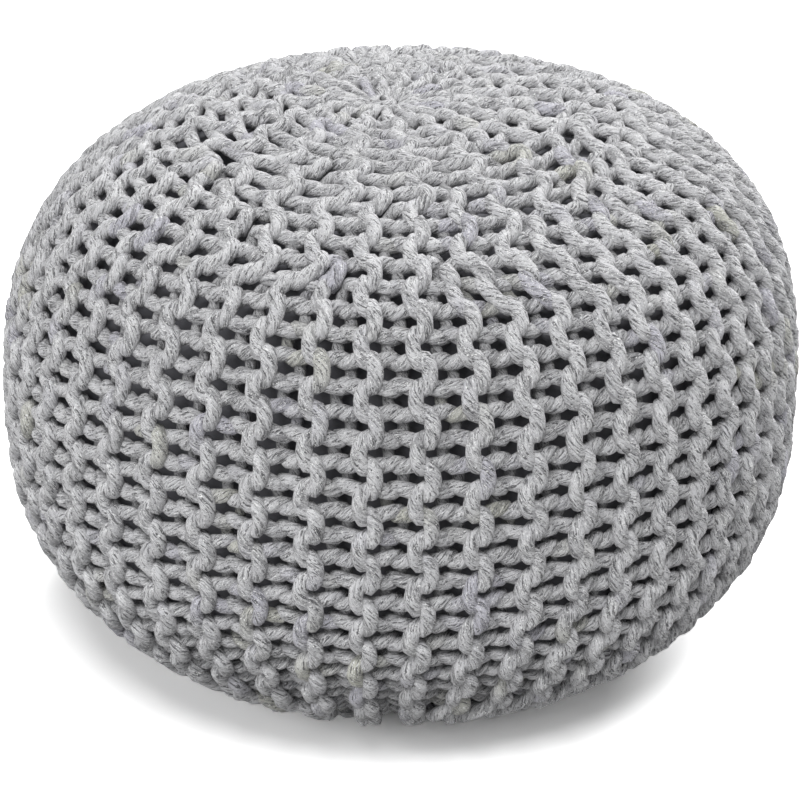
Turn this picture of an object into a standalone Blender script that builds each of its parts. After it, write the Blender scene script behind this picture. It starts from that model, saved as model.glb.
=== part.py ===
"""Knitted pouf: a garter-stitch cover, knitted sideways and drawn in over a filled inner bag.

Metres, +Z up. The origin is on the floor, under the middle of the pouf.
"""
import math

import bmesh
import bpy

# Outside of the cover, over its ridges
WIDTH = 0.500
HEIGHT = 0.360
WAIST_HEIGHT = 0.155        # height of the widest ring above the floor
SHOULDER_POWER = 3.0        # 2 gives an ellipse, and more a flatter top with a squarer shoulder
BELLY_POWER = 2.17          # the same for the half below the waist
BELLY_DROP = 0.1745         # how far the belly would hang below the waist if no floor held it up
FOOT_ROUNDING = 0.006       # softens the edge of the flat foot

# Knitting
WEDGES = 17                 # each wedge has one long, one middle and one short ridge
RIDGES = (
    # name, radius where it ends near the top and the underside
    ("long", 0.010),
    ("short", 0.150),
    ("middle", 0.105),
)
RIDGE_END_LENGTH = 0.035    # length over which a ridge grows from its end to its full height
ENDED_RIDGE_WIDTH = 0.2     # share of its width that the fabric keeps where a short row has ended
GROOVE_DEPTH = 0.007        # how far a valley between two ridges lies below them
GROOVE_FLOOR_LENGTH = 0.030  # height above the floor over which the weight presses the ridges flat
FABRIC_THICKNESS = 0.0165   # from the top of a ridge to the bag

# Gathers
TOP_DIMPLE_DEPTH = 0.003
TOP_DIMPLE_RADIUS = 0.035
EYE_RADIUS = 0.024          # opening in the underside, where the lower edge is drawn in
TUCK_RADIUS = 0.046         # inside this radius the drawn-in edge lifts off the floor
TUCK_RISE = 0.006

# A soft thing leans a little, and its gather sits off the middle
SHOULDER_SHIFT = 0.007
GATHER_SHIFT = -0.019
GATHER_BACK = 0.007
GATHER_REACH = 0.190

BAG_CLEARANCE = 0.0003

# Fineness of the solids
STEPS_AROUND_COVER = 2 * len(RIDGES) * WEDGES
STEPS_AROUND_BAG = STEPS_AROUND_COVER // 2
OUTSIDE_STEPS = (15, 8)     # above and below the waist
LINING_STEPS = (9, 6)       # the bag has the same, so that its facets lie along the lining's

CORD_COLOUR = (0.50, 0.50, 0.52)
BAG_COLOUR = (0.10, 0.10, 0.115)


def clear_scene():
    for item in list(bpy.data.objects):
        bpy.data.objects.remove(item, do_unlink=True)


def smooth_step(value):
    """0 below 0, 1 above 1, and an even S curve between."""
    value = min(max(value, 0.0), 1.0)
    return value * value * (3.0 - 2.0 * value)


def soft_floor(height, floor):
    """A height kept above the floor, with a rounded corner where the outline lands."""
    above = height - floor
    if above <= -FOOT_ROUNDING:
        return floor
    if above >= FOOT_ROUNDING:
        return height
    return floor + (above + FOOT_ROUNDING) ** 2 / (4.0 * FOOT_ROUNDING)


def quarter_outline(reach, depth, power, steps):
    """Quarter of a superellipse, from the axis out to the waist: (radius, distance from the waist)."""
    points = [(0.0, depth)]
    for step in range(1, steps + 1):
        angle = 0.5 * math.pi * (1.0 - step / steps)
        points.append((reach * math.cos(angle) ** (2.0 / power), depth * math.sin(angle) ** (2.0 / power)))
    return points


def pouf_outline(inset, steps):
    """(radius, height) from the middle of the top to the edge of the eye, this far inside the ridges."""
    reach = 0.5 * WIDTH - inset
    points = []
    for radius, above in quarter_outline(reach, HEIGHT - WAIST_HEIGHT - inset, SHOULDER_POWER, steps[0]):
        dimple = TOP_DIMPLE_DEPTH * (1.0 - smooth_step(radius / TOP_DIMPLE_RADIUS))
        points.append((radius, WAIST_HEIGHT + above - dimple))
    below_waist = quarter_outline(reach, BELLY_DROP - inset, BELLY_POWER, steps[1])
    for radius, below in reversed(below_waist[:-1]):
        if radius > TUCK_RADIUS:
            points.append((radius, soft_floor(WAIST_HEIGHT - below, inset)))
    points.append((TUCK_RADIUS, inset))
    points.append((EYE_RADIUS, inset + TUCK_RISE))
    return points


def spin_outline(shape, outline, steps):
    """Turns an outline about Z inside the bmesh and returns its vertices, its pole closed."""
    before = set(shape.verts)
    line = [shape.verts.new((radius, 0.0, height)) for radius, height in outline]
    edges = [shape.edges.new(pair) for pair in zip(line, line[1:])]
    bmesh.ops.spin(shape, geom=line + edges, cent=(0, 0, 0), axis=(0, 0, 1), dvec=(0, 0, 0),
                   angle=2.0 * math.pi, steps=steps, use_merge=True, use_duplicate=False)
    bmesh.ops.remove_doubles(shape, verts=list(set(shape.verts) - before), dist=0.00002)
    return list(set(shape.verts) - before)


def ridge_share(ridge, radius):
    """1 where the ridge is whole, and 0 once its short row has ended."""
    return smooth_step((radius - RIDGES[ridge][1]) / RIDGE_END_LENGTH)


def step_turn(step, radius):
    """Turn of a mesh line about Z: even steps are ridge tops, odd ones the valleys after them."""
    wedge, step_in_wedge = divmod(step, 2 * len(RIDGES))
    widths = [ENDED_RIDGE_WIDTH + (1.0 - ENDED_RIDGE_WIDTH) * ridge_share(ridge, radius)
              for ridge in range(len(RIDGES))]
    ridge, past_top = divmod(step_in_wedge, 2)
    before = sum(widths[:ridge]) - 0.5 * widths[0]
    along = before + widths[ridge] * (1.0 if past_top else 0.5)
    return (wedge + along / sum(widths)) / WEDGES


def shape_ridges(shape, vertices):
    """Sinks the valleys between the ridges and spreads the ridges that go on where short rows end."""
    shape.normal_update()
    for vertex in vertices:
        radius = math.hypot(vertex.co.x, vertex.co.y)
        turn = math.atan2(vertex.co.y, vertex.co.x) / (2.0 * math.pi)
        step = round(turn * STEPS_AROUND_COVER) % STEPS_AROUND_COVER
        ridge, in_valley = divmod(step % (2 * len(RIDGES)), 2)
        valley = 1.0 if in_valley else 1.0 - ridge_share(ridge, radius)
        gathered = ridge_share(0, radius)
        off_floor = smooth_step((vertex.co.z - FOOT_ROUNDING) / GROOVE_FLOOR_LENGTH)
        vertex.co -= vertex.normal * (GROOVE_DEPTH * valley * gathered * off_floor)
        if vertex.co.z > WAIST_HEIGHT:
            angle = 2.0 * math.pi * step_turn(step, radius)
            reach = math.hypot(vertex.co.x, vertex.co.y)
            vertex.co.x = reach * math.cos(angle)
            vertex.co.y = reach * math.sin(angle)


def settle(vertices):
    """Leans the shoulders and shifts the top gather sideways, as the filled pouf sits."""
    for vertex in vertices:
        radius = math.hypot(vertex.co.x, vertex.co.y)
        up = max(vertex.co.z - WAIST_HEIGHT, 0.0) / (HEIGHT - WAIST_HEIGHT)
        gather = 1.0 - smooth_step(radius / GATHER_REACH)
        vertex.co.x += (SHOULDER_SHIFT + GATHER_SHIFT * gather) * up * up
        vertex.co.y += GATHER_BACK * gather * up * up


def cloth_material(name, colour, roughness):
    material = bpy.data.materials.new(name)
    material.use_nodes = True
    shader = material.node_tree.nodes["Principled BSDF"]
    shader.inputs["Base Color"].default_value = (*colour, 1.0)
    shader.inputs["Roughness"].default_value = roughness
    shader.inputs["Metallic"].default_value = 0.0
    return material


def add_object(name, shape, material, parent):
    """Closes the bmesh into one named object, faces out and shaded smooth."""
    bmesh.ops.recalc_face_normals(shape, faces=shape.faces)
    mesh = bpy.data.meshes.new(name)
    shape.to_mesh(mesh)
    shape.free()
    mesh.materials.append(material)
    mesh.shade_smooth()
    piece = bpy.data.objects.new(name, mesh)
    bpy.context.collection.objects.link(piece)
    piece.parent = parent
    return piece


def make_cover(parent):
    """The knitted cover: ridged outside, plain lining side, joined round the eye in the underside."""
    shape = bmesh.new()
    outside = spin_outline(shape, pouf_outline(0.0, OUTSIDE_STEPS), STEPS_AROUND_COVER)
    bmesh.ops.recalc_face_normals(shape, faces=shape.faces)
    shape_ridges(shape, outside)
    spin_outline(shape, pouf_outline(FABRIC_THICKNESS, LINING_STEPS), STEPS_AROUND_COVER)
    eye_edges = [edge for edge in shape.edges if edge.is_boundary]
    bmesh.ops.bridge_loops(shape, edges=eye_edges)
    settle(shape.verts)
    return add_object("knitted_cover", shape, cloth_material("cotton_cord", CORD_COLOUR, 0.9), parent)


def make_bag(parent):
    """The filled bag: it fills the cover and its underside closes over the eye."""
    shape = bmesh.new()
    inset = FABRIC_THICKNESS + BAG_CLEARANCE
    spin_outline(shape, pouf_outline(inset, LINING_STEPS), STEPS_AROUND_BAG)
    eye_edges = [edge for edge in shape.edges if edge.is_boundary]
    bmesh.ops.holes_fill(shape, edges=eye_edges, sides=0)
    settle(shape.verts)
    return add_object("inner_bag", shape, cloth_material("bag_cloth", BAG_COLOUR, 0.75), parent)


def main():
    clear_scene()
    pouf = bpy.data.objects.new("pouf", None)
    bpy.context.collection.objects.link(pouf)
    make_cover(pouf)
    make_bag(pouf)


main()
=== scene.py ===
import math

import bmesh
import bpy
import numpy as np
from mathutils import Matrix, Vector, noise


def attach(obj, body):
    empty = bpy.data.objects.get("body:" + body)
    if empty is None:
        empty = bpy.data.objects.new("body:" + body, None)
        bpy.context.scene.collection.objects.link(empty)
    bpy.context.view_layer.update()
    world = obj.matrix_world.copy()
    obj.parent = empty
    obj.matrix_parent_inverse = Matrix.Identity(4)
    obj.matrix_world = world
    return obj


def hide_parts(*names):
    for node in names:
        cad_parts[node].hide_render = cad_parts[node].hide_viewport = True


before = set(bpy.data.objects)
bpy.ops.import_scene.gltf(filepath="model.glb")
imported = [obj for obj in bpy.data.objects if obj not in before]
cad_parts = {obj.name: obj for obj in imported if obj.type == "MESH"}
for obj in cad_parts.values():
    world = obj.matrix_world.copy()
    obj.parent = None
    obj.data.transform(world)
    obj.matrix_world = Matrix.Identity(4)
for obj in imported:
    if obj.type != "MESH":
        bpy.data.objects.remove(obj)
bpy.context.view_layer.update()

print("frame loaded")

# the filled shape, in metres, as the solids have it
form = {
    "reach": 0.250,
    "height": 0.360,
    "waistHeight": 0.155,
    "shoulderPower": 3.0,       # 2 gives an ellipse, and more a squarer shoulder
    "bellyPower": 2.17,
    "bellyDrop": 0.1745,        # how far the belly would hang below the waist with no floor
    "footRounding": 0.006,
    "dimpleDepth": 0.003,
    "dimpleRadius": 0.035,
    "eyeRadius": 0.024,         # the underside is drawn in to this eye, and lifts off the floor round it
    "tuckRadius": 0.046,
    "tuckRise": 0.006,
    "shoulderShift": 0.007,     # the shoulders lean to the right, and the gather sits left and back
    "gatherShift": -0.019,
    "gatherBack": 0.007,
    "gatherReach": 0.190,
    "outlineSteps": 1600,
    "meridianSteps": 1200,
}


def smoothStep(value):
    value = np.clip(value, 0.0, 1.0)
    return value * value * (3.0 - 2.0 * value)


def rises(value, zone):
    # from 0 at the zone's start to 1 at its end, where a zone is a start and a length
    start, span = zone
    return smoothStep((value - start) / span)


def falls(value, zone):
    # from 1 to 0, where a zone is the place of the 0 and the length before it
    end, span = zone
    return smoothStep((end - value) / span)


def outlinePoints(inset):
    # radius and height from the top's middle to the underside's middle, this far inside the ridges
    reach = form["reach"] - inset
    angle = np.linspace(0.5 * math.pi, 0.0, form["outlineSteps"])
    upRadius = reach * np.cos(angle).clip(0) ** (2.0 / form["shoulderPower"])
    rise = form["height"] - form["waistHeight"] - inset
    upHeight = form["waistHeight"] + rise * np.sin(angle) ** (2.0 / form["shoulderPower"])
    upHeight = upHeight - form["dimpleDepth"] * (1.0 - smoothStep(upRadius / form["dimpleRadius"]))
    angle = angle[::-1][1:]
    downRadius = reach * np.cos(angle).clip(0) ** (2.0 / form["bellyPower"])
    drop = (form["bellyDrop"] - inset) * np.sin(angle) ** (2.0 / form["bellyPower"])
    above = form["waistHeight"] - drop - inset
    rounding = form["footRounding"]
    corner = (above + rounding) ** 2 / (4.0 * rounding)
    downHeight = inset + np.where(above <= -rounding, 0.0, np.where(above >= rounding, above, corner))
    tuck = (downRadius - form["eyeRadius"]) / (form["tuckRadius"] - form["eyeRadius"])
    downHeight = downHeight + form["tuckRise"] * (1.0 - smoothStep(tuck))
    return np.concatenate([upRadius, downRadius]), np.concatenate([upHeight, downHeight])


def meridian(inset):
    # the same line by its own length, with the normal that points out of it
    radius, height = outlinePoints(inset)
    length = np.concatenate([[0.0], np.cumsum(np.hypot(np.diff(radius), np.diff(height)))])
    even = np.linspace(0.0, length[-1], form["meridianSteps"])
    radius = np.interp(even, length, radius)
    height = np.interp(even, length, height)
    outward = np.stack([-np.gradient(height, even), np.gradient(radius, even)])
    outward /= np.linalg.norm(outward, axis=0)
    return {"length": even, "radius": radius, "height": height, "outR": outward[0], "outZ": outward[1]}


def settled(points):
    # the lean of the shoulders and the gather beside the middle
    radius = np.hypot(points[:, 0], points[:, 1])
    up = (points[:, 2] - form["waistHeight"]).clip(0) / (form["height"] - form["waistHeight"])
    gather = (1.0 - smoothStep(radius / form["gatherReach"])) * up * up
    moved = points.copy()
    moved[:, 0] += form["shoulderShift"] * up * up + form["gatherShift"] * gather
    moved[:, 1] += form["gatherBack"] * gather
    return moved


# the knitting: rows run from the top to the underside, two rows to a ridge; lengths and zones are arc
# lengths in metres from the top's middle
knit = {
    "wedges": 17,
    "stops": ((0,), (6, 5, 5, 4, 6, 5, 4, 5), (4, 2, 4, 3, 4, 4)),   # stitches a wedge's ridges stop short
    "stitch": 0.0280,
    "topEdge": 0.0170,          # from the top's middle to the first stitch
    "eyeEdge": 0.0200,          # and from the last one to the underside's middle
    "closing": 0.042,           # length over which the fabric closes past a row's end
    "closingAt": 0.30,          # share of that length left where the row ends
    "fading": 0.020,            # length over which a row's neighbours reach over its end
    "farthest": 6,              # rows to the next one that is knitted, at most
    "gridSteps": 500,
    "rowRatio": 1.63,           # width of a loop over the spacing of the rows
    "headFlat": -0.03,          # flattens the loops' heads
    "legPinch": 0.16,           # how far a loop's legs close in, over the stitch
    "poleSpread": 0.10,         # and how much less they do so near the middle of the top
    "poleZone": (0.20, 0.12),
    "depth": (0.0054, 0.0013, -0.0011),   # front to back swing of a loop, with its third and fifth waves
    "relief": (0.55, 0.72, 1.0),   # scales the depth behind the ridges: top, waist and foot
    "topZone": (0.27, 0.10),
    "footZone": (0.38, 0.10),
    "sink": 0.0028,             # the loops' backs lie this much deeper, and their legs 0.4 of it
    "sinkPower": 1.4,
    "cord": 0.0082,
    "legWiden": (0.10, -0.04),  # how much fuller the cord is on a loop's legs, above and at the foot
    "legZone": (0.30, 0.20),
    "headWiden": 0.10,          # how much fuller it is on the ridges
    "headZone": (0.0, 0.05),
    "backThin": 0.16,           # and how much thinner at the loops' backs
    "squeeze": 0.55,            # share of its thickness that the cord keeps where the rows crowd
    "roomNeeded": 0.010,        # a row narrower than this crowds
    "turned": -0.0120,          # where the first row stands, radians
    "crowding": 0.138,          # rows stand closer on one side than on the other
    "bunching": 0.016,
    "topLean": (0.045, 1.2),    # turn of the rows on the top, and how much more of it on the left
    "leanZone": (0.29, 0.15),
    "footTurn": (0.020, 0.9),   # turn of the rows at the foot, and the share of it that both sides have
    "footTurnZone": (0.34, 0.10),
    "sideDrop": 0.0045,         # the stitches stand lower towards the sides, and lower again on the right
    "rightDrop": 0.0030,
    "rightZone": (0.20, 0.20),
    "dropEase": 0.15,           # away from both middles
    "fabricMiddle": 0.0095,     # the fabric's middle lies this far inside the ridges
    "turnPull": (0.40, 0.28),   # how far a turn reaches past its row, in stitches: at the gather, elsewhere
    "turnReturn": 1.6,          # and how much farther it reaches on its way back
    "turnDip": (0.002, 0.006),  # how far the turn dips behind its neighbours
    "turnSteps": 11,
    "pointsPerStitch": 18,
    "bevelRounds": 3,           # sides of the cord: 4 and twice this
    "lumps": ((170.0, 0.00072), (420.0, 0.000352)),   # waves a metre and height of the cord's uneven surface
    "jitter": 0.0005,
    "uneven": {                 # share by which a thing changes, and the points from one change to the next
        "reach": (0.05, 9),
        "depth": (0.08, 9),
        "size": (0.04, 7),
    },
    "jitterSteps": (9, 12),     # points from one change to the next, along the row and in its height
    "floorGap": 0.0002,
    "seed": 11,
    "panels": 6,
}
rowCount = 2 * len(knit["stops"]) * knit["wedges"]
midLine = meridian(knit["fabricMiddle"])
stitchTotal = int((midLine["length"][-1] - knit["eyeEdge"] - knit["topEdge"]) / knit["stitch"])


def stitchesShort(ridge):
    wedge, kind = divmod(ridge % (rowCount // 2), len(knit["stops"]))
    return knit["stops"][kind][wedge % len(knit["stops"][kind])]


topShort = np.array([stitchesShort(row // 2) for row in range(rowCount)])
baseShort = np.array([stitchesShort((row + 1) // 2) for row in range(rowCount)])


def arcOf(stitches):
    return knit["topEdge"] + knit["stitch"] * stitches


def rowGrid(length, over, left):
    # 1 where a row runs and 0 past both its ends, with this share left where it ends
    fromTop = (length[None] - arcOf(topShort)[:, None]) / over + left
    fromBase = (arcOf(stitchTotal - baseShort)[:, None] - length[None]) / over + left
    longTop = (topShort == 0)[:, None]
    longBase = (baseShort == 0)[:, None]
    return np.where(longTop, 1.0, smoothStep(fromTop)) * np.where(longBase, 1.0, smoothStep(fromBase))


gridLength = np.linspace(0.0, midLine["length"][-1], knit["gridSteps"])
gridShares = rowGrid(gridLength, knit["closing"], knit["closingAt"])   # how wide each row is
gridPresence = rowGrid(gridLength, knit["fading"], 1.0)                # whether its neighbours see it
gridTurn = 2.0 * math.pi / gridShares.sum(axis=0)                      # angle of one full row
gridCentre = (np.cumsum(gridShares, axis=0) - 0.5 * gridShares) * gridTurn


def reachGrid(row, step):
    # distance in rows from a row to the next one that is knitted, forwards or backwards
    remaining = np.ones_like(gridLength)
    between = np.zeros_like(gridLength)
    total = np.zeros_like(gridLength)
    for hop in range(1, knit["farthest"] + 1):
        other = (row + step * hop) % rowCount
        distance = 0.5 * gridShares[row] + between + 0.5 * gridShares[other]
        chance = gridPresence[other] if hop < knit["farthest"] else np.ones_like(gridLength)
        total += remaining * chance * distance
        remaining = remaining * (1.0 - chance)
        between = between + gridShares[other]
    return total


def smoothNoise(random, count, spacing):
    # even random swings, one value every few points, joined smoothly
    knots = random.uniform(-1.0, 1.0, count // spacing + 3)
    place = np.arange(count) / spacing
    low = place.astype(int)
    blend = smoothStep(place - low)
    return knots[low] * (1.0 - blend) + knots[low + 1] * blend


def unevenness(random, count, name):
    share, spacing = knit["uneven"][name]
    return 1.0 + share * smoothNoise(random, count, spacing)


def placeCord(angle, length, lift):
    # from the angle about Z, the arc length and the height over the fabric's middle to a point
    crowded = knit["crowding"] * (np.cos(angle) - 1.0) + knit["bunching"] * np.sin(2.0 * angle)
    angle = angle + knit["turned"] + crowded
    lean, leftMore = knit["topLean"]
    angle = angle - lean * (1.0 - leftMore * np.sin(angle)) * falls(length, knit["leanZone"])
    turn, common = knit["footTurn"]
    angle = angle - turn * (common + np.sin(angle)) * rises(length, knit["footTurnZone"])
    fromEye = midLine["length"][-1] - length
    away = smoothStep(length / knit["dropEase"]) * smoothStep(fromEye / knit["dropEase"])
    right = np.sin(angle) * rises(length, knit["rightZone"])
    drop = knit["sideDrop"] * (1.0 - np.cos(2.0 * angle)) + knit["rightDrop"] * right
    length = length + away * drop
    radius, height, outR, outZ = (np.interp(length, midLine["length"], midLine[name])
                                  for name in ("radius", "height", "outR", "outZ"))
    reach = radius + lift * outR
    points = np.stack([reach * np.sin(angle), -reach * np.cos(angle), height + lift * outZ], axis=1)
    return settled(points)


def rowPath(row, random):
    # one knitted row from its top end to its bottom end: angle, arc length, lift and fullness
    side = 1.0 if row % 2 == 0 else -1.0
    first = topShort[row] + (0.0 if row % 2 == 0 else 0.5)
    last = stitchTotal - baseShort[row] - (0.0 if row % 2 else 0.5)
    count = int(round((last - first) * knit["pointsPerStitch"])) + 1
    stitches = np.linspace(first, last, count)
    turn = 2.0 * math.pi * stitches
    head = 0.5 + 0.5 * side * np.cos(turn)     # 1 on the ridge and 0 at the loop's back
    back = 0.5 - 0.5 * side * np.cos(turn)
    alongSteps, upSteps = knit["jitterSteps"]

    base = arcOf(stitches)
    pinch = knit["legPinch"] - knit["poleSpread"] * falls(base, knit["poleZone"])
    length = base + pinch * knit["stitch"] * np.sin(2.0 * turn)
    length = length + knit["jitter"] * smoothNoise(random, count, alongSteps)

    ahead = np.interp(length, gridLength, reachGrid(row, 1))
    behind = np.interp(length, gridLength, reachGrid(row, -1))
    rowAngle = np.interp(length, gridLength, gridTurn)
    centre = np.interp(length, gridLength, gridCentre[row])
    swing = np.cos(turn) + knit["headFlat"] * np.cos(3.0 * turn)
    reach = 0.5 * knit["rowRatio"] * np.where(swing > 0.0, ahead, behind)
    angle = centre + rowAngle * reach * unevenness(random, count, "reach") * swing

    lift = side * sum(part * np.cos(wave * turn) for part, wave in zip(knit["depth"], (1, 3, 5)))
    lift = lift * unevenness(random, count, "depth")
    lift = lift + knit["jitter"] * smoothNoise(random, count, upSteps)
    lift = lift - knit["sink"] * back ** knit["sinkPower"]
    onTop, atWaist, atFoot = knit["relief"]
    relief = atWaist + (onTop - atWaist) * falls(length, knit["topZone"])
    relief = relief + (atFoot - atWaist) * rises(length, knit["footZone"])
    front = sum(knit["depth"])
    lift = front - relief * (front - lift)

    above, below = knit["legWiden"]
    legs = above + (below - above) * rises(length, knit["legZone"])
    fuller = 1.0 + legs * np.sin(turn) ** 2 - knit["backThin"] * back ** 2
    fuller = fuller + knit["headWiden"] * head ** 2 * rises(length, knit["headZone"])
    return angle, length, lift, fuller


def turnPath(start, end, outwards, atPole):
    # the cord's turn from one row's end to the next row's: a hook that dips behind its neighbours
    share = np.linspace(0.0, 1.0, knit["turnSteps"])[1:-1]
    pull = knit["stitch"] * knit["turnPull"][0 if atPole else 1] * outwards
    keep = (1 - share) ** 3
    lead = 3 * (1 - share) ** 2 * share
    follow = 3 * (1 - share) * share ** 2
    arrive = share ** 3
    angle = (keep + lead) * start[0] + (follow + arrive) * end[0]
    length = keep * start[1] + lead * (start[1] + pull)
    length = length + follow * (end[1] + knit["turnReturn"] * pull) + arrive * end[1]
    lift = (1.0 - share) * start[2] + share * end[2]
    dip = knit["turnDip"][0 if atPole else 1] * np.sin(math.pi * share) * np.sign(start[2] + end[2])
    return angle, length, lift - dip, np.ones_like(share)


def panelPath(rows):
    # one cord that goes up a row, turns, and comes down the next
    random = np.random.RandomState(knit["seed"] + rows[0])
    parts = []
    for row in rows:
        path = rowPath(row, random)
        if row % 2 == 0:
            path = tuple(values[::-1] for values in path)
        if parts:
            before = [values[-1] for values in parts[-1]]
            after = [values[0] for values in path]
            parts.append(turnPath(before, after, -1.0 if row % 2 else 1.0, topShort[row] == 0))
        parts.append(path)
    return [np.concatenate(values) for values in zip(*parts)]


def cordCurve(name, points, sizes, depth):
    curve = bpy.data.curves.new(name, "CURVE")
    curve.dimensions = "3D"
    curve.bevel_depth = depth
    curve.bevel_resolution = knit["bevelRounds"]
    curve.use_fill_caps = True
    spline = curve.splines.new("POLY")
    spline.points.add(len(points) - 1)
    spline.points.foreach_set("co", np.c_[points, np.ones(len(points))].ravel())
    spline.points.foreach_set("radius", sizes)
    cord = bpy.data.objects.new(name, curve)
    bpy.context.collection.objects.link(cord)
    return cord


def meshFrom(cord, points, lift, material):
    # the curve as a mesh with two maps: round the cord and along it in metres, and its lift in the fabric,
    # which drives the cord's painted shade
    graph = bpy.context.evaluated_depsgraph_get()
    mesh = bpy.data.meshes.new_from_object(cord.evaluated_get(graph))
    name = cord.name
    bpy.data.objects.remove(cord)
    along = np.concatenate([[0.0], np.cumsum(np.linalg.norm(np.diff(points, axis=0), axis=1))])
    layer = mesh.uv_layers[0]
    layer.name = "cordMap"
    places = np.empty(2 * len(mesh.loops))
    layer.data.foreach_get("uv", places)
    places = places.reshape(-1, 2)
    share = places[:, 0] * (len(points) - 1)
    places = np.stack([places[:, 1], np.interp(share, np.arange(len(points)), along)], axis=1)
    layer.data.foreach_set("uv", places.ravel())
    heights = np.interp(share, np.arange(len(points)), lift)
    mesh.uv_layers.new(name="liftMap").data.foreach_set("uv", np.repeat(heights, 2))
    shape = bmesh.new()
    shape.from_mesh(mesh)
    bmesh.ops.remove_doubles(shape, verts=shape.verts, dist=0.000002)
    bmesh.ops.recalc_face_normals(shape, faces=shape.faces)
    shape.normal_update()
    for vert in shape.verts:
        lump = sum(size * noise.noise(vert.co * pitch) for pitch, size in knit["lumps"])
        vert.co += lump * vert.normal
        vert.co.z = max(vert.co.z, knit["floorGap"])
    shape.to_mesh(mesh)
    shape.free()
    mesh.shade_smooth()
    mesh.materials.clear()
    mesh.materials.append(material)
    piece = bpy.data.objects.new(name, mesh)
    bpy.context.collection.objects.link(piece)
    print(name, "cord", round(along[-1], 1), "m,", len(mesh.polygons), "faces")
    return piece


def makePanels(material):
    panels = []
    wedgeRows = 2 * len(knit["stops"])
    cuts = np.linspace(0, knit["wedges"], knit["panels"] + 1).round().astype(int)
    for number, (low, high) in enumerate(zip(cuts, cuts[1:])):
        angle, length, lift, fuller = panelPath(list(range(low * wedgeRows, high * wedgeRows)))
        radius = np.interp(length, midLine["length"], midLine["radius"])
        room = radius * np.interp(length, gridLength, gridTurn)
        squeeze = knit["squeeze"] + (1.0 - knit["squeeze"]) * smoothStep(room / knit["roomNeeded"])
        random = np.random.RandomState(knit["seed"] + 100 + number)
        sizes = squeeze * fuller * unevenness(random, len(angle), "size")
        points = placeCord(angle, length, lift)
        lowest = 0.5 * knit["cord"] * sizes + knit["floorGap"]
        points[:, 2] = np.maximum(points[:, 2], lowest)
        cord = cordCurve(f"knittedPanel{number + 1}", points, sizes, 0.5 * knit["cord"])
        panels.append(meshFrom(cord, points, lift, material))
    return panels


knotLook = {
    "turns": 2.2,
    "startReach": 0.0012,
    "reach": 0.0085,
    "spread": 0.7,              # below 1, the turns lie closer on the outside
    "rise": 0.0035,             # the middle of the knot over its outside
    "lift": 0.0040,             # of its outside over the fabric's middle
    "tail": (0.8, 0.2, 0.0035),     # start and length of the end that dips in, and how far
    "taper": (0.85, 0.15, 0.35),    # start and length of the end that thins, and by how much
    "cord": 0.0066,
    "steps": 70,
}


def makeKnot(material):
    # the cord that gathers the middle, wound on itself
    share = np.linspace(0.0, 1.0, knotLook["steps"])
    angle = 2.0 * math.pi * knotLook["turns"] * share
    reach = knotLook["startReach"] + knotLook["reach"] * share ** knotLook["spread"]
    top = midLine["height"][0] + knotLook["lift"]
    *tailZone, tailDip = knotLook["tail"]
    *taperZone, thinner = knotLook["taper"]
    height = top + knotLook["rise"] * (1.0 - share) ** 1.5 - tailDip * rises(share, tailZone)
    points = settled(np.stack([reach * np.cos(angle), reach * np.sin(angle), height], axis=1))
    sizes = 1.0 - thinner * rises(share, taperZone)
    cord = cordCurve("gatherKnot", points, sizes, 0.5 * knotLook["cord"])
    # the knot takes the ridges' lift, so the painted shade leaves it light
    return meshFrom(cord, points, np.full(len(points), sum(knit["depth"])), material)


bagLook = {
    "inset": 0.0215,
    "stepsUp": 90,
    "stepsAround": 120,
    "dark": (0.17, 0.17, 0.19, 1.0),
    "light": (0.27, 0.27, 0.295, 1.0),
    "clouds": 30.0,             # waves a metre
    "weave": 900.0,
    "bump": 0.0008,
    "bumpStrength": 0.4,
    "roughness": 0.8,
}


def makeBag(material):
    # the filled bag behind the stitches
    radius, height = outlinePoints(bagLook["inset"])
    pick = np.unique(np.linspace(0, len(radius) - 1, bagLook["stepsUp"]).astype(int))
    shape = bmesh.new()
    line = [shape.verts.new((radius[i], 0.0, height[i])) for i in pick]
    edges = [shape.edges.new(pair) for pair in zip(line, line[1:])]
    bmesh.ops.spin(shape, geom=line + edges, cent=(0, 0, 0), axis=(0, 0, 1), angle=2 * math.pi,
                   steps=bagLook["stepsAround"], use_merge=True, use_duplicate=False)
    bmesh.ops.remove_doubles(shape, verts=shape.verts, dist=0.00005)
    bmesh.ops.recalc_face_normals(shape, faces=shape.faces)
    mesh = bpy.data.meshes.new("innerBag")
    shape.to_mesh(mesh)
    shape.free()
    points = np.empty(3 * len(mesh.vertices))
    mesh.vertices.foreach_get("co", points)
    mesh.vertices.foreach_set("co", settled(points.reshape(-1, 3)).ravel())
    mesh.shade_smooth()
    mesh.materials.append(material)
    bag = bpy.data.objects.new("innerBag", mesh)
    bpy.context.collection.objects.link(bag)
    return bag


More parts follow.
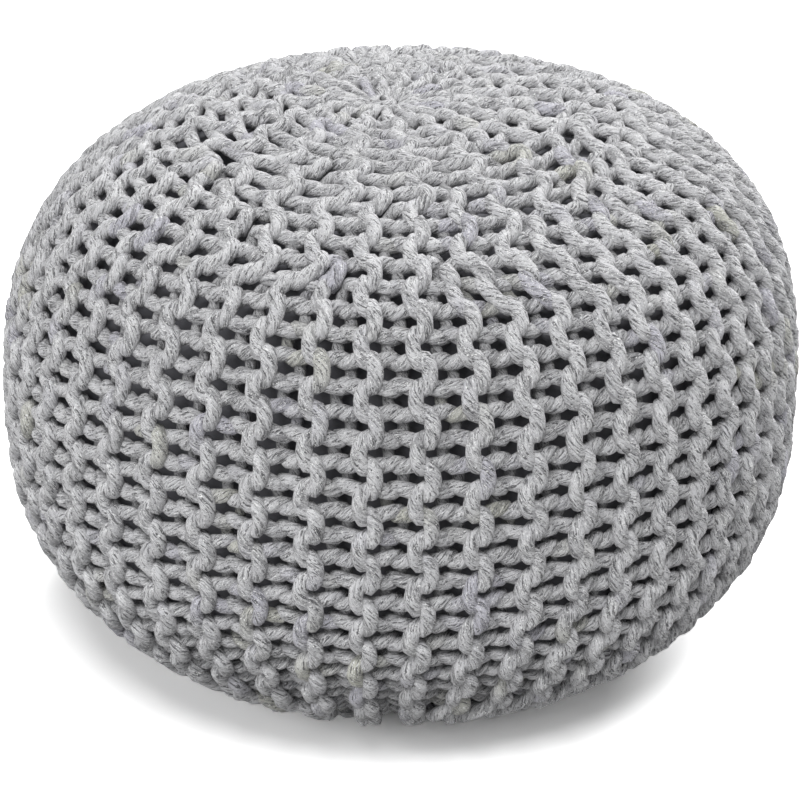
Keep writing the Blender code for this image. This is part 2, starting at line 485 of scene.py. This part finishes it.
class Nodes:
    # short calls for building a material's or a group's nodes
    def __init__(self, tree):
        self.tree = tree

    def add(self, kind, **settings):
        node = self.tree.nodes.new(kind)
        for key, value in settings.items():
            setattr(node, key, value)
        return node

    def feed(self, socket, value):
        if hasattr(value, "is_output"):
            self.tree.links.new(value, socket)
        else:
            socket.default_value = value

    def math(self, operation, *values):
        node = self.add("ShaderNodeMath", operation=operation)
        for socket, value in zip(node.inputs, values):
            self.feed(socket, value)
        return node.outputs[0]

    def noise(self, vector, scale, detail, roughness=0.5, distortion=0.0):
        node = self.add("ShaderNodeTexNoise")
        for socket, value in (("Vector", vector), ("Scale", scale), ("Detail", detail),
                              ("Roughness", roughness), ("Distortion", distortion)):
            self.feed(node.inputs[socket], value)
        return node.outputs["Fac"]

    def spread(self, value, low, high, newLow=0.0, newHigh=1.0):
        node = self.add("ShaderNodeMapRange", interpolation_type="SMOOTHSTEP")
        for socket, number in zip(node.inputs, (value, low, high, newLow, newHigh)):
            self.feed(socket, number)
        return node.outputs[0]

    def mix(self, share, first, second, blend="MIX"):
        node = self.add("ShaderNodeMix", data_type="RGBA", blend_type=blend)
        for socket, value in ((node.inputs[0], share), (node.inputs[6], first), (node.inputs[7], second)):
            self.feed(socket, value)
        return node.outputs[2]

    def join(self, x, y, z):
        node = self.add("ShaderNodeCombineXYZ")
        for socket, value in zip(node.inputs, (x, y, z)):
            self.feed(socket, value)
        return node.outputs[0]

    def split(self, vector):
        node = self.add("ShaderNodeSeparateXYZ")
        self.feed(node.inputs[0], vector)
        return node.outputs

    def bump(self, height, distance, strength=1.0):
        node = self.add("ShaderNodeBump")
        node.inputs["Strength"].default_value = strength
        node.inputs["Distance"].default_value = distance
        self.feed(node.inputs["Height"], height)
        return node.outputs[0]


def newMaterial(name):
    material = bpy.data.materials.new(name)
    material.use_nodes = True
    return material, Nodes(material.node_tree), material.node_tree.nodes["Principled BSDF"]


def makeGroup(name, inputs, outputs, build):
    tree = bpy.data.node_groups.new(name, "ShaderNodeTree")
    for label, kind in inputs:
        tree.interface.new_socket(name=label, in_out="INPUT", socket_type=kind)
    for label in outputs:
        tree.interface.new_socket(name=label, in_out="OUTPUT", socket_type="NodeSocketFloat")
    nodes = Nodes(tree)
    entry = nodes.add("NodeGroupInput")
    leave = nodes.add("NodeGroupOutput")
    for label, value in build(nodes, entry.outputs).items():
        nodes.feed(leave.inputs[label], value)
    return tree


fibreNoises = {
    # the map it runs on, waves a metre, detail, roughness, distortion
    "Fibres": ("drawn", 900.0, 2.0, 0.6, 0.6),
    "Threads": ("drawn", 360.0, 1.0, 0.5, 0.4),
    "Lines": ("drawn", 680.0, 0.0, 0.5, 1.6),
    "Fuzz": ("plain", 1300.0, 1.0, 0.6, 1.0),
    "Flecks": ("plain", 760.0, 1.0, 0.7, 0.8),
    "Clouds": ("plain", 90.0, 2.0, 0.6, 0.0),
    "Drift": ("alongOnly", 9.0, 1.0, 0.5, 0.0),
}


def buildCordFibres(nodes, given):
    # round and along the cord: spun fibres that run slantwise, fine fuzz, flecks and slow changes of tone
    around, along, _ = nodes.split(given["Map"])
    angle = nodes.math("MULTIPLY", nodes.math("MULTIPLY_ADD", along, given["Twist"], around), 2.0 * math.pi)
    sideways = nodes.math("MULTIPLY", nodes.math("COSINE", angle), given["Radius"])
    upwards = nodes.math("MULTIPLY", nodes.math("SINE", angle), given["Radius"])
    maps = {
        "drawn": nodes.join(sideways, upwards, nodes.math("MULTIPLY", along, given["Stretch"])),
        "plain": nodes.join(sideways, upwards, along),
        "alongOnly": nodes.join(0.0, 0.0, along),
    }
    found = {name: nodes.noise(maps[kind], *numbers) for name, (kind, *numbers) in fibreNoises.items()}
    fromMiddle = nodes.math("ABSOLUTE", nodes.math("SUBTRACT", found["Lines"], 0.5))
    found["Lines"] = nodes.spread(fromMiddle, 0.045, 0.010)    # thin lines where the noise crosses its middle
    return found


cordLook = {
    "light": (0.735, 0.735, 0.75, 1.0),
    "mid": (0.60, 0.60, 0.62, 1.0),
    "dark": (0.07, 0.07, 0.075, 1.0),
    "pale": (0.95, 0.95, 0.95, 1.0),
    "olive": (0.50, 0.50, 0.37, 1.0),
    "lilac": (0.50, 0.49, 0.58, 1.0),
    "cloudRange": (0.30, 0.70),     # of the clouds' noise, from mid to light
    "underLines": (             # colour, noise, where it starts and is full, strength
        ("olive", "Drift", 0.58, 0.70, 0.55),
        ("lilac", "Drift", 0.44, 0.34, 0.60),
        ("dark", "Threads", 0.46, 0.36, 0.45),
        ("dark", "Fibres", 0.47, 0.36, 0.85),
    ),
    "fibreLinesAndShade": (0.80, 0.50),  # strength of the dark fibre lines, deep in the fabric and on the ridges; their extra strength deep in the fabric is painted shade
    "overLines": (
        ("dark", "Flecks", 0.38, 0.28, 0.90),
        ("pale", "Fuzz", 0.58, 0.68, 0.95),
    ),
    "twist": 31.0,              # turns of the fibres per metre
    "stretch": 0.26,
    "deepPaintedShade": 0.58,          # painted shade: tone of the cord deepest in the fabric, darkened to stand in for the shade there
    "paintedShadeBend": 0.45,           # below 1, only the deepest cord takes the full painted shade
    "paintedShadeLifts": (-0.0045, 0.0042),      # lift in the fabric where the painted shade is darkest and where it ends
    "roughness": (0.95, 0.75),  # between the fibres and on them
    "sheen": 0.2,
    "specular": 0.3,
    "bump": 0.0016,
    "bumpShares": (0.6, 0.8, 0.25),     # of the fibres, the threads and the fuzz
}


def makeCordMaterial():
    inputs = (("Map", "NodeSocketVector"), ("Twist", "NodeSocketFloat"),
              ("Radius", "NodeSocketFloat"), ("Stretch", "NodeSocketFloat"))
    fibres = makeGroup("cordFibres", inputs, fibreNoises, buildCordFibres)
    material, nodes, shader = newMaterial("cottonCord")
    group = nodes.add("ShaderNodeGroup", node_tree=fibres)
    nodes.feed(group.inputs["Map"], nodes.add("ShaderNodeUVMap", uv_map="cordMap").outputs[0])
    nodes.feed(group.inputs["Twist"], cordLook["twist"])
    nodes.feed(group.inputs["Radius"], 0.5 * knit["cord"])
    nodes.feed(group.inputs["Stretch"], cordLook["stretch"])
    found = group.outputs
    lift = nodes.split(nodes.add("ShaderNodeUVMap", uv_map="liftMap").outputs[0])[0]
    raised = nodes.spread(lift, *cordLook["paintedShadeLifts"])

    def layer(below, colour, source, start, full, strength):
        return nodes.mix(nodes.spread(found[source], start, full, 0.0, strength), below, cordLook[colour])

    colour = nodes.mix(nodes.spread(found["Clouds"], *cordLook["cloudRange"]), cordLook["mid"],
                       cordLook["light"])
    for row in cordLook["underLines"]:
        colour = layer(colour, *row)
    # the dark fibre lines are drawn stronger deep in the fabric, which adds painted shade to them
    fibreLinesAndShade = nodes.math("MULTIPLY", found["Lines"], nodes.spread(raised, 0.0, 1.0, *cordLook["fibreLinesAndShade"]))
    colour = nodes.mix(fibreLinesAndShade, colour, cordLook["dark"])
    for row in cordLook["overLines"]:
        colour = layer(colour, *row)
    # painted shade: the cord's colour darkens with its depth in the fabric, standing in for the shade in the
    # recesses
    shade = nodes.math("POWER", raised, cordLook["paintedShadeBend"])
    shade = nodes.math("MULTIPLY_ADD", shade, 1.0 - cordLook["deepPaintedShade"], cordLook["deepPaintedShade"])
    colour = nodes.mix(1.0, colour, nodes.join(shade, shade, shade), "MULTIPLY")
    nodes.feed(shader.inputs["Base Color"], colour)
    nodes.feed(shader.inputs["Roughness"], nodes.spread(found["Fibres"], 0.3, 0.7, *cordLook["roughness"]))
    shader.inputs["Sheen Weight"].default_value = cordLook["sheen"]
    shader.inputs["Specular IOR Level"].default_value = cordLook["specular"]
    height = 0.0
    for source, share in zip(("Fibres", "Threads", "Fuzz"), cordLook["bumpShares"]):
        height = nodes.math("MULTIPLY_ADD", found[source], share, height)
    nodes.feed(shader.inputs["Normal"], nodes.bump(height, cordLook["bump"]))
    return material


def makeBagMaterial():
    material, nodes, shader = newMaterial("bagCloth")
    place = nodes.add("ShaderNodeTexCoord").outputs["Object"]
    colour = nodes.mix(nodes.noise(place, bagLook["clouds"], 3.0), bagLook["dark"], bagLook["light"])
    nodes.feed(shader.inputs["Base Color"], colour)
    shader.inputs["Roughness"].default_value = bagLook["roughness"]
    weave = nodes.noise(place, bagLook["weave"], 2.0)
    nodes.feed(shader.inputs["Normal"], nodes.bump(weave, bagLook["bump"], bagLook["bumpStrength"]))
    return material


cordMaterial = makeCordMaterial()
panels = makePanels(cordMaterial)
panels.append(makeKnot(cordMaterial))
bag = makeBag(makeBagMaterial())
for panel in panels:
    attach(panel, "root")
    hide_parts("knitted_cover")
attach(bag, "root")
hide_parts("inner_bag")
print("pouf made")

studio = {
    "elevation": 26.5,
    "distance": 1.5,
    "lens": 104.93,
    "aimHeight": 0.155,
    "floorSize": 12.0,
    "floorTone": 0.4,
    "floorBrightness": 4.5,     # as the camera sees it, over its tone
    "worldStrength": 0.05,
    "backdrop": 1.2,            # the world as the camera sees it
    "lights": {                 # degrees right of the front, degrees up, strength, degrees that it fills
        "topFront": (0.0, 58.0, 1.52, 20.0),
        "frontLeft": (-40.0, 27.0, 1.12, 38.0),
        "left": (-76.0, 20.0, 0.6, 38.0),
        "right": (77.0, 24.0, 0.4, 38.0),
        "back": (140.0, 43.0, 2.8, 38.0),
    },
}


def makeFloor():
    bpy.ops.mesh.primitive_plane_add(size=studio["floorSize"])
    floor = bpy.context.object
    floor.name = "floor"
    material, nodes, shader = newMaterial("paleFloor")
    seen = nodes.add("ShaderNodeLightPath").outputs["Is Camera Ray"]
    seenTone = studio["floorTone"] * studio["floorBrightness"]
    nodes.feed(shader.inputs["Base Color"], nodes.spread(seen, 0.0, 1.0, studio["floorTone"], seenTone))
    shader.inputs["Roughness"].default_value = 0.9
    shader.inputs["Specular IOR Level"].default_value = 0.0
    floor.data.materials.append(material)


def makeStudio():
    world = bpy.data.worlds.new("softWhite")
    bpy.context.scene.world = world
    world.use_nodes = True
    nodes = Nodes(world.node_tree)
    background = world.node_tree.nodes["Background"]
    seen = nodes.add("ShaderNodeLightPath").outputs["Is Camera Ray"]
    strength = nodes.spread(seen, 0.0, 1.0, studio["worldStrength"], studio["backdrop"])
    background.inputs["Color"].default_value = (1, 1, 1, 1)
    nodes.feed(background.inputs["Strength"], strength)
    for name, (side, up, strength, softness) in studio["lights"].items():
        light = bpy.data.lights.new(name, "SUN")
        light.angle = math.radians(softness)
        light.energy = strength
        holder = bpy.data.objects.new(name, light)
        holder.rotation_euler = (math.radians(90.0 - up), 0.0, math.radians(side))
        bpy.context.collection.objects.link(holder)


def makeCamera():
    lens = bpy.data.cameras.new("camera")
    lens.lens = studio["lens"]
    lens.sensor_width = 36.0
    lens.clip_end = 50.0
    camera = bpy.data.objects.new("camera", lens)
    tilt = math.radians(studio["elevation"])
    aim = Vector((0, 0, studio["aimHeight"]))
    camera.location = aim + studio["distance"] * Vector((0, -math.cos(tilt), math.sin(tilt)))
    camera.rotation_euler = (0.5 * math.pi - tilt, 0, 0)
    bpy.context.collection.objects.link(camera)
    bpy.context.scene.camera = camera


makeFloor()
makeStudio()
makeCamera()
bpy.context.scene.view_settings.view_transform = "Standard"
print("studio made")
